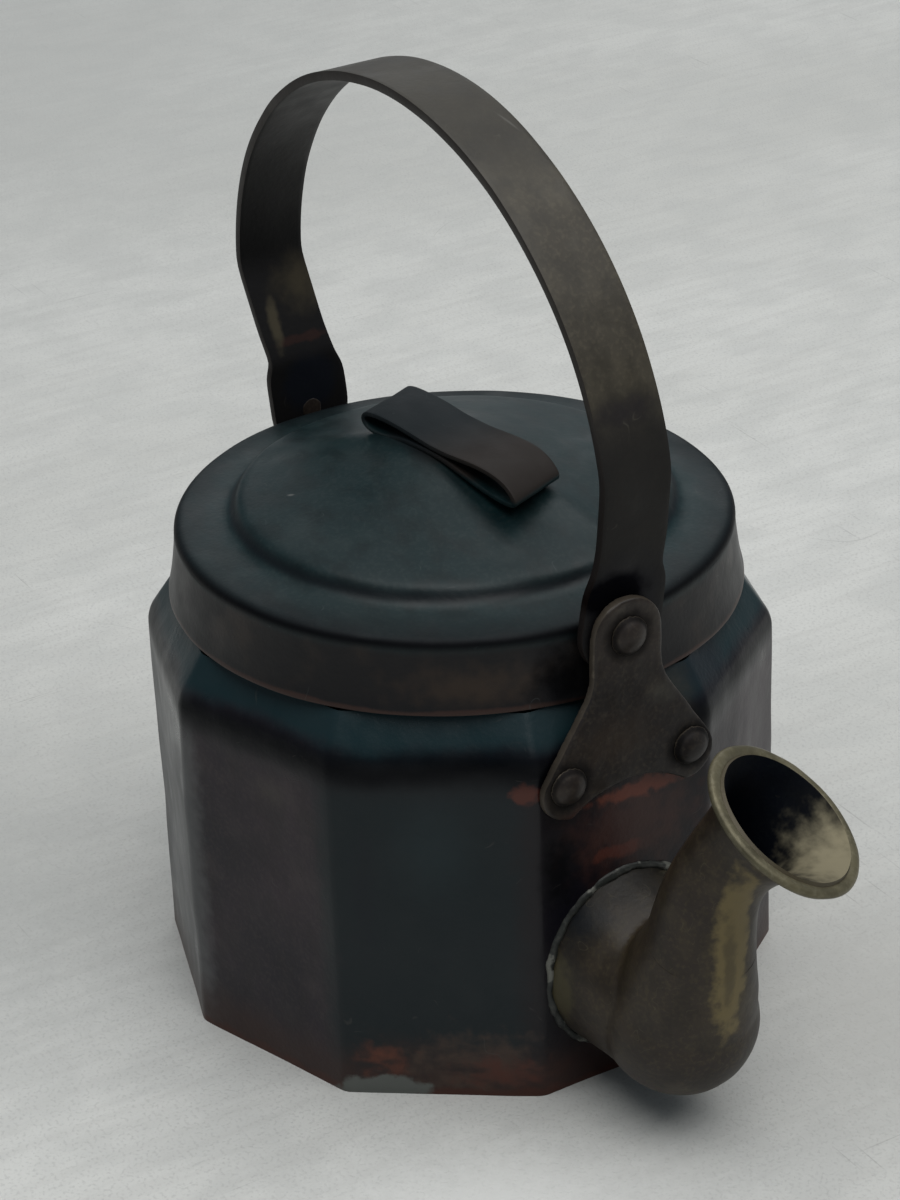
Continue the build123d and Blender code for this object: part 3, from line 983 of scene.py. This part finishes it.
def bent_strip(name, stations, columns, place):
    """A plane grid, one row a station; place gives a station's point from -1 to 1 across it."""
    deselect()
    rows = len(stations) - 1
    bpy.ops.mesh.primitive_grid_add(x_subdivisions=rows, y_subdivisions=columns, size=2.0)
    strip = start(name)
    mode("OBJECT")
    shape(strip, lambda p: place(stations[round((p.x + 1) / 2 * rows)], p.y))
    return strip


def round_edges(strip, width):
    """Bevel the sharp edges that a strip has once it has a thickness."""
    sharp = math.radians(50)
    modify(strip, "BEVEL", width=width, segments=2, limit_method="ANGLE", angle_limit=sharp)


def strap_point(station, across):
    x, z, half = station
    return Vector((x, strap_side(x, z) + half * across, z))


def bail_strap():
    strap = bent_strip("bail_sheet", strap_line(), 8, strap_point)
    subdivide(strap)
    dent(strap, 18 * MM, 0.35 * MM)
    modify(strap, "SOLIDIFY", thickness=strap_thickness, offset=0)
    round_edges(strap, 0.45 * MM)
    finish_piece(strap, "bail_strap", ["bail"], "bail")


bail_strap()

# %% [markdown]
# ## Ears and rivets
# The ears were filed to shape and the rivet heads hammered, so no edge is sharp or quite straight.
# The frame's own pieces have the right outline. A copy of each is merged, its skin is made anew in
# small even faces, smoothed a little and dented, and the copy stands for the plain piece.

# %% Worn copies
ear_wear = (0.45 * MM, 0.4 * MM)
rivet_wear = (0.3 * MM, 0.35 * MM)


def worn_copy(name, slot, voxel, depth):
    """Copy a frame piece, round its edges off and dent it."""
    piece = bpy.data.objects.new(name + "_worn", nodes[name].data.copy())
    piece.data.materials.clear()
    bpy.context.scene.collection.objects.link(piece)
    choose(piece)
    mode("EDIT")
    select_mesh()
    bpy.ops.mesh.remove_doubles(threshold=0.005 * MM)
    mode("OBJECT")
    modify(piece, "REMESH", mode="VOXEL", voxel_size=voxel)
    modify(piece, "SMOOTH", factor=0.5, iterations=3)
    dent(piece, 7 * MM, depth)
    dent(piece, 2.5 * MM, 0.25 * depth)
    finish_piece(piece, slot, [name], "pot", 60.0)


for ear in ("front_ear", "rear_ear"):
    worn_copy(ear, "ear_copper", *ear_wear)
for rivet in [name for name in nodes if name.endswith("_rivet")]:
    worn_copy(rivet, "rivet_copper", *rivet_wear)

# %% [markdown]
# ## The lid's handle
# A short strap was folded on itself and riveted to the crown in its middle, so it is pinched there
# and open at both ends. Its path is a closed line seen from the side; the same bent grid follows
# it, and its two ends are merged. Its ends are cut at a slant.

# %% Lid strap
loop_turn = math.radians(6.8)
loop_half = 7.3 * MM
loop_slant = 0.29
loop_sheet = 1.0 * MM
loop_path = [  # along and up from the crown's top, in millimetres
    (0.0, 0.55), (-6.0, 0.50), (-11.0, -0.40), (-16.0, -1.35), (-19.5, -1.55), (-21.6, -0.95),
    (-22.5, 0.15), (-22.0, 1.35), (-20.0, 2.10), (-15.0, 2.55), (-9.0, 2.50), (-3.0, 1.95),
    (3.0, 1.85), (8.0, 2.15), (13.0, 2.70), (17.5, 2.95), (21.5, 2.65), (24.5, 1.75),
    (26.6, 0.10), (27.1, -0.95), (26.3, -1.65), (22.0, -1.85), (16.0, -1.50), (10.0, -0.45),
    (5.0, 0.40), (0.0, 0.55),
]


def loop_point(station, across):
    along, rise = station
    side = across * loop_half
    reach = along * MM - loop_slant * side
    x = reach * math.cos(loop_turn) - side * math.sin(loop_turn)
    y = reach * math.sin(loop_turn) + side * math.cos(loop_turn)
    return Vector((x, y, crown_top + rise * MM))


def lid_strap():
    strap = bent_strip("lid_strap_sheet", loop_path, 6, loop_point)
    mode("EDIT")
    select_mesh()
    bpy.ops.mesh.remove_doubles(threshold=0.05 * MM)
    turn_outwards()
    subdivide(strap, 2)
    dent(strap, 9 * MM, 0.3 * MM)
    modify(strap, "SOLIDIFY", thickness=loop_sheet, offset=0)
    round_edges(strap, 0.2 * MM)
    finish_piece(strap, "lid_copper", ["lid_strap"], "lid")


lid_strap()

# %% [markdown]
# ## The spout
# The spout is the piece that took the most skill: an elbow beaten up from two halves, and a tube
# that leans aside as it opens. Both are lofts: circles stand along a curved line and are bridged.
# The elbow is a root, a ball and a neck, closed and joined; a voxel remesh makes one skin of them,
# and a smooth takes the hard line out of the crotch as a hammer would. Two planes then cut it, one
# at the pot's facet and one at the joint.


# %% Lofts and cuts
def loft(name, stations, closed):
    """Circles at the stations, bridged into one skin; a sixth value makes a circle taller."""
    deselect()
    rings = []
    for out, aside, rise, lean, radius, *tall in stations:
        place, turned = spout_frame(out, aside, rise, lean)
        bpy.ops.mesh.primitive_circle_add(
            vertices=48, radius=radius * MM, location=place, rotation=turned.to_euler()
        )
        bpy.context.object.scale.y = tall[0] if tall else 1.0
        rings.append(bpy.context.object)
    for ring in rings:
        ring.select_set(True)
    bpy.ops.object.join()
    piece = start(name)
    select_mesh()
    bpy.ops.mesh.bridge_edge_loops()
    if closed:
        bpy.ops.mesh.select_all(action="DESELECT")
        bpy.ops.mesh.select_non_manifold()
        bpy.ops.mesh.edge_face_add()
    # an open skin has no ends to tell its sides apart, and its faces come out the other way round
    turn_outwards(inside=not closed)
    return piece


def cut(piece, place, normal):
    """Cut a closed piece with a plane, and open it there by taking away the normal's side."""
    mode("EDIT")
    select_mesh()
    bpy.ops.mesh.bisect(plane_co=place, plane_no=normal, clear_outer=True)
    mode("OBJECT")


# %% Elbow
root_height = 1.1
root_stations = [
    (-4.0, 0, 0.4, 90, 18.6, root_height),
    (0, 0, 0, 90, 18.0, root_height),
    (9.5, 0, -1.6, 90, 16.6, 1.04),
    (19, 0, -3.8, 90, 14.9),
]
neck_stations = [(19, 0, -3.8, 18.5, 15.4), (22.8, 0, 7.6, 18.5, 13.4), (27.1, 0, 20.5, 18.5, 10.2)]
bulb_radius = 15.7 * MM


def spout_elbow():
    root = loft("root", root_stations, True)
    neck = loft("neck", neck_stations, True)
    deselect()
    bulb = spout_frame(*neck_stations[0][:4])[0]
    bpy.ops.mesh.primitive_uv_sphere_add(
        segments=48, ring_count=32, radius=bulb_radius, location=bulb
    )
    root.select_set(True)
    neck.select_set(True)
    bpy.ops.object.join()
    elbow = bpy.context.object
    elbow.name = "spout_elbow_shell"
    bpy.ops.object.transform_apply(location=True, rotation=True, scale=True)
    modify(elbow, "REMESH", mode="VOXEL", voxel_size=0.7 * MM)
    modify(elbow, "SMOOTH", factor=0.5, iterations=7)
    dent(elbow, 12 * MM, 0.4 * MM)
    cut(elbow, spout_root + Vector((0.05 * MM, 0, 0)), (-1, 0, 0))
    joint, turned = spout_frame(*tube_stations[0][:4])
    cut(elbow, joint, turned.col[2])
    modify(elbow, "SOLIDIFY", thickness=spout_wall, offset=-1)
    finish_piece(elbow, "spout_bronze", ["spout_elbow"], "pot")


spout_elbow()

# %% Tube and mouth
lip_sheet = 0.9 * MM
lip_rings = [  # from the outer circle over the top and down inside: a radius and a height
    (17.2, -0.9), (17.7, -0.3), (17.7, 0.3), (17.2, 0.75), (16.3, 0.85), (15.3, 0.6),
    (14.5, -0.1), (13.6, -1.2), (12.3, -2.4),
]


def spout_tube():
    tube = loft("spout_tube_shell", tube_stations, False)
    subdivide(tube, 3)
    tube.data.materials.append(finishes["spout_bronze"])
    tube.data.materials.append(spout_inside())
    dent(tube, 10 * MM, 0.3 * MM)
    modify(tube, "SOLIDIFY", thickness=spout_wall, offset=-1, material_offset=1)
    finish_piece(tube, "spout_bronze", ["spout_tube"], "pot")


def spout_lip():
    """A rolled ring, shaped flat at the origin and then set on the tube's end."""
    first, *rest = [(radius * MM, height * MM) for radius, height in lip_rings]
    lip = ringed("spout_lip_ring", *first, rest)
    turn_outwards()
    subdivide(lip)
    modify(lip, "SOLIDIFY", thickness=lip_sheet, offset=-1)
    shape(lip, lambda p: mouth_place + mouth_turned @ p)
    dent(lip, 9 * MM, 0.3 * MM)
    finish_piece(lip, "lip_brass", ["spout_lip"], "pot")


spout_tube()
spout_lip()


# %% Solder round the root
def root_solder():
    """A bead round the root, where the solder ran out unevenly."""
    deselect()
    bpy.ops.mesh.primitive_torus_add(
        major_radius=18.3 * MM,
        minor_radius=0.9 * MM,
        major_segments=180,
        minor_segments=12,
        location=spout_root,
        rotation=lying,
    )
    bead = start("root_solder")
    select_mesh()
    bpy.ops.transform.resize(value=(1, 1, root_height), center_override=spout_root)
    mode("OBJECT")
    dent(bead, 3.5 * MM, 1.2 * MM)
    dent(bead, 1.2 * MM, 0.4 * MM)
    finish_piece(bead, "solder", ["spout_collar"], "pot", 180.0)


root_solder()

# %% [markdown]
# ## The floor and the light
# The pot stands on a pale painted floor, a little scratched, which is wide enough to be the
# backdrop too. Painted light brightens it in front of the pot, and painted shade greys it at the
# pot's sides and far off. A wide panel overhead gives the light and the room is dim, so that edges
# that face the horizon stay dark and the tops come out paler. A second panel, low and weak, stands
# far behind: the back of the lid mirrors it.

# %% Floor
deselect()
bpy.ops.mesh.primitive_plane_add(size=12.0)
floor = bpy.context.object
floor.name = "floor"
floor_paint = Finish("floor_paint", Roughness=0.7)
near_side = -30 / 36


def floor_mask(size, detail, stretch, shift, low, high):
    """A mask of clouds of that size in millimetres, from where the noise passes low to high."""
    return floor_paint.fade(floor_paint.noise(size * MM, detail, stretch, shift), low, high)


def floor_coat(mask, under, tone):
    return floor_paint.mix(mask, under, colour(*tone))


even = (1.0, 1.0, 1.0)
pale = floor_mask(150, 7.0, (1.0, 2.2, 1.0), 0.0, 0.30, 0.70)
grey = floor_coat(pale, colour(0.53, 0.53, 0.50), (0.62, 0.62, 0.59))
mottled = floor_mask(14, 9.0, (1.0, 1.6, 1.0), 6.0, 0.40, 0.62)
grey = floor_coat(mottled * 0.35, grey, (0.47, 0.475, 0.455))
brushed = floor_mask(3, 5.0, (1.0, 14.0, 1.0), 2.0, 0.44, 0.66)
grey = floor_coat(brushed * 0.22, grey, (0.46, 0.455, 0.43))
grainy = floor_mask(0.8, 3.0, even, 4.0, 0.50, 0.70)
grey = floor_coat(grainy * 0.30, grey, (0.36, 0.36, 0.35))
for turn, stretch in enumerate(((1.0, 60.0, 1.0), (45.0, 1.0, 1.0))):
    scratch = floor_mask(1.0, 3.0, stretch, 8.0 + turn, 0.66, 0.74)
    patches = floor_mask(55, 3.0, even, 12.0 + turn, 0.54, 0.64)
    grey = floor_coat(0.42 * scratch * patches, grey, (0.20, 0.195, 0.185))
grey = floor_coat(0.25 * floor_paint.lines(160 * MM, 0.0012, 0.4), grey, (0.15, 0.15, 0.14))
# painted shade at the pot's sides and far off, and painted light in front of it
for place, radii, share, tone in (
    ((-572, 169, 0), (420, 260, 50), 0.60, (0.43, 0.435, 0.415)),
    ((-70, -105, 0), (110, 70, 50), 0.75, (0.42, 0.425, 0.405)),
    ((76, 60, 0), (70, 45, 50), 0.70, (0.42, 0.415, 0.390)),
    ((90, -46, 0), (36, 66, 50), 0.90, (0.72, 0.72, 0.69)),
):
    wear_and_painted_light = floor_paint.mark(place, radii, near_side, 0.5, 1.0)
    grey = floor_coat(share * wear_and_painted_light, grey, tone)
floor_paint.shader_input("Base Color", grey)
floor_paint.bump(grainy, 0.05 * MM)
floor.data.materials.append(floor_paint.material)

# %% Light
world = bpy.data.worlds.new("soft_room")
bpy.context.scene.world = world
world.use_nodes = True
background = world.node_tree.nodes["Background"]
background.inputs["Color"].default_value = colour(0.66, 0.76, 0.86)
background.inputs["Strength"].default_value = 0.20
pot_middle = Vector((0.0, 0.0, 0.06))


def soft_lamp(name, place, size, power):
    """A square area lamp that looks from its place to the middle of the pot."""
    bpy.ops.object.light_add(type="AREA", location=place)
    lamp = bpy.context.object
    lamp.name = name
    lamp.data.size = size
    lamp.data.energy = power
    lamp.rotation_euler = (pot_middle - Vector(place)).to_track_quat("-Z", "Y").to_euler()


soft_lamp("ceiling_panel", (0.35, 0.12, 1.8), 2.4, 44.0)
soft_lamp("back_panel", (-1.75, 1.0, 1.15), 1.6, 5.0)

# %% [markdown]
# ## The camera
# The camera looks down at the pot from the side of the spout. Its place was found by fitting the
# lid's circles and the pot's corners, so its angles are plain numbers of degrees.

# %% Camera
heading = math.radians(59.95)
elevation = math.radians(28.22)
roll = math.radians(-2.18)
camera_place = Vector((534.95, -311.24, 412.01)) * MM
focal_length = 102.0

bpy.ops.object.camera_add(location=camera_place)
camera = bpy.context.object
camera.data.lens = focal_length
camera.data.clip_start = 0.01
upright = Euler((math.pi / 2 - elevation, 0.0, heading)).to_matrix()
camera.rotation_euler = (upright @ Matrix.Rotation(roll, 3, "Z")).to_euler()
bpy.context.scene.camera = camera
bpy.context.scene.view_settings.view_transform = "Standard"
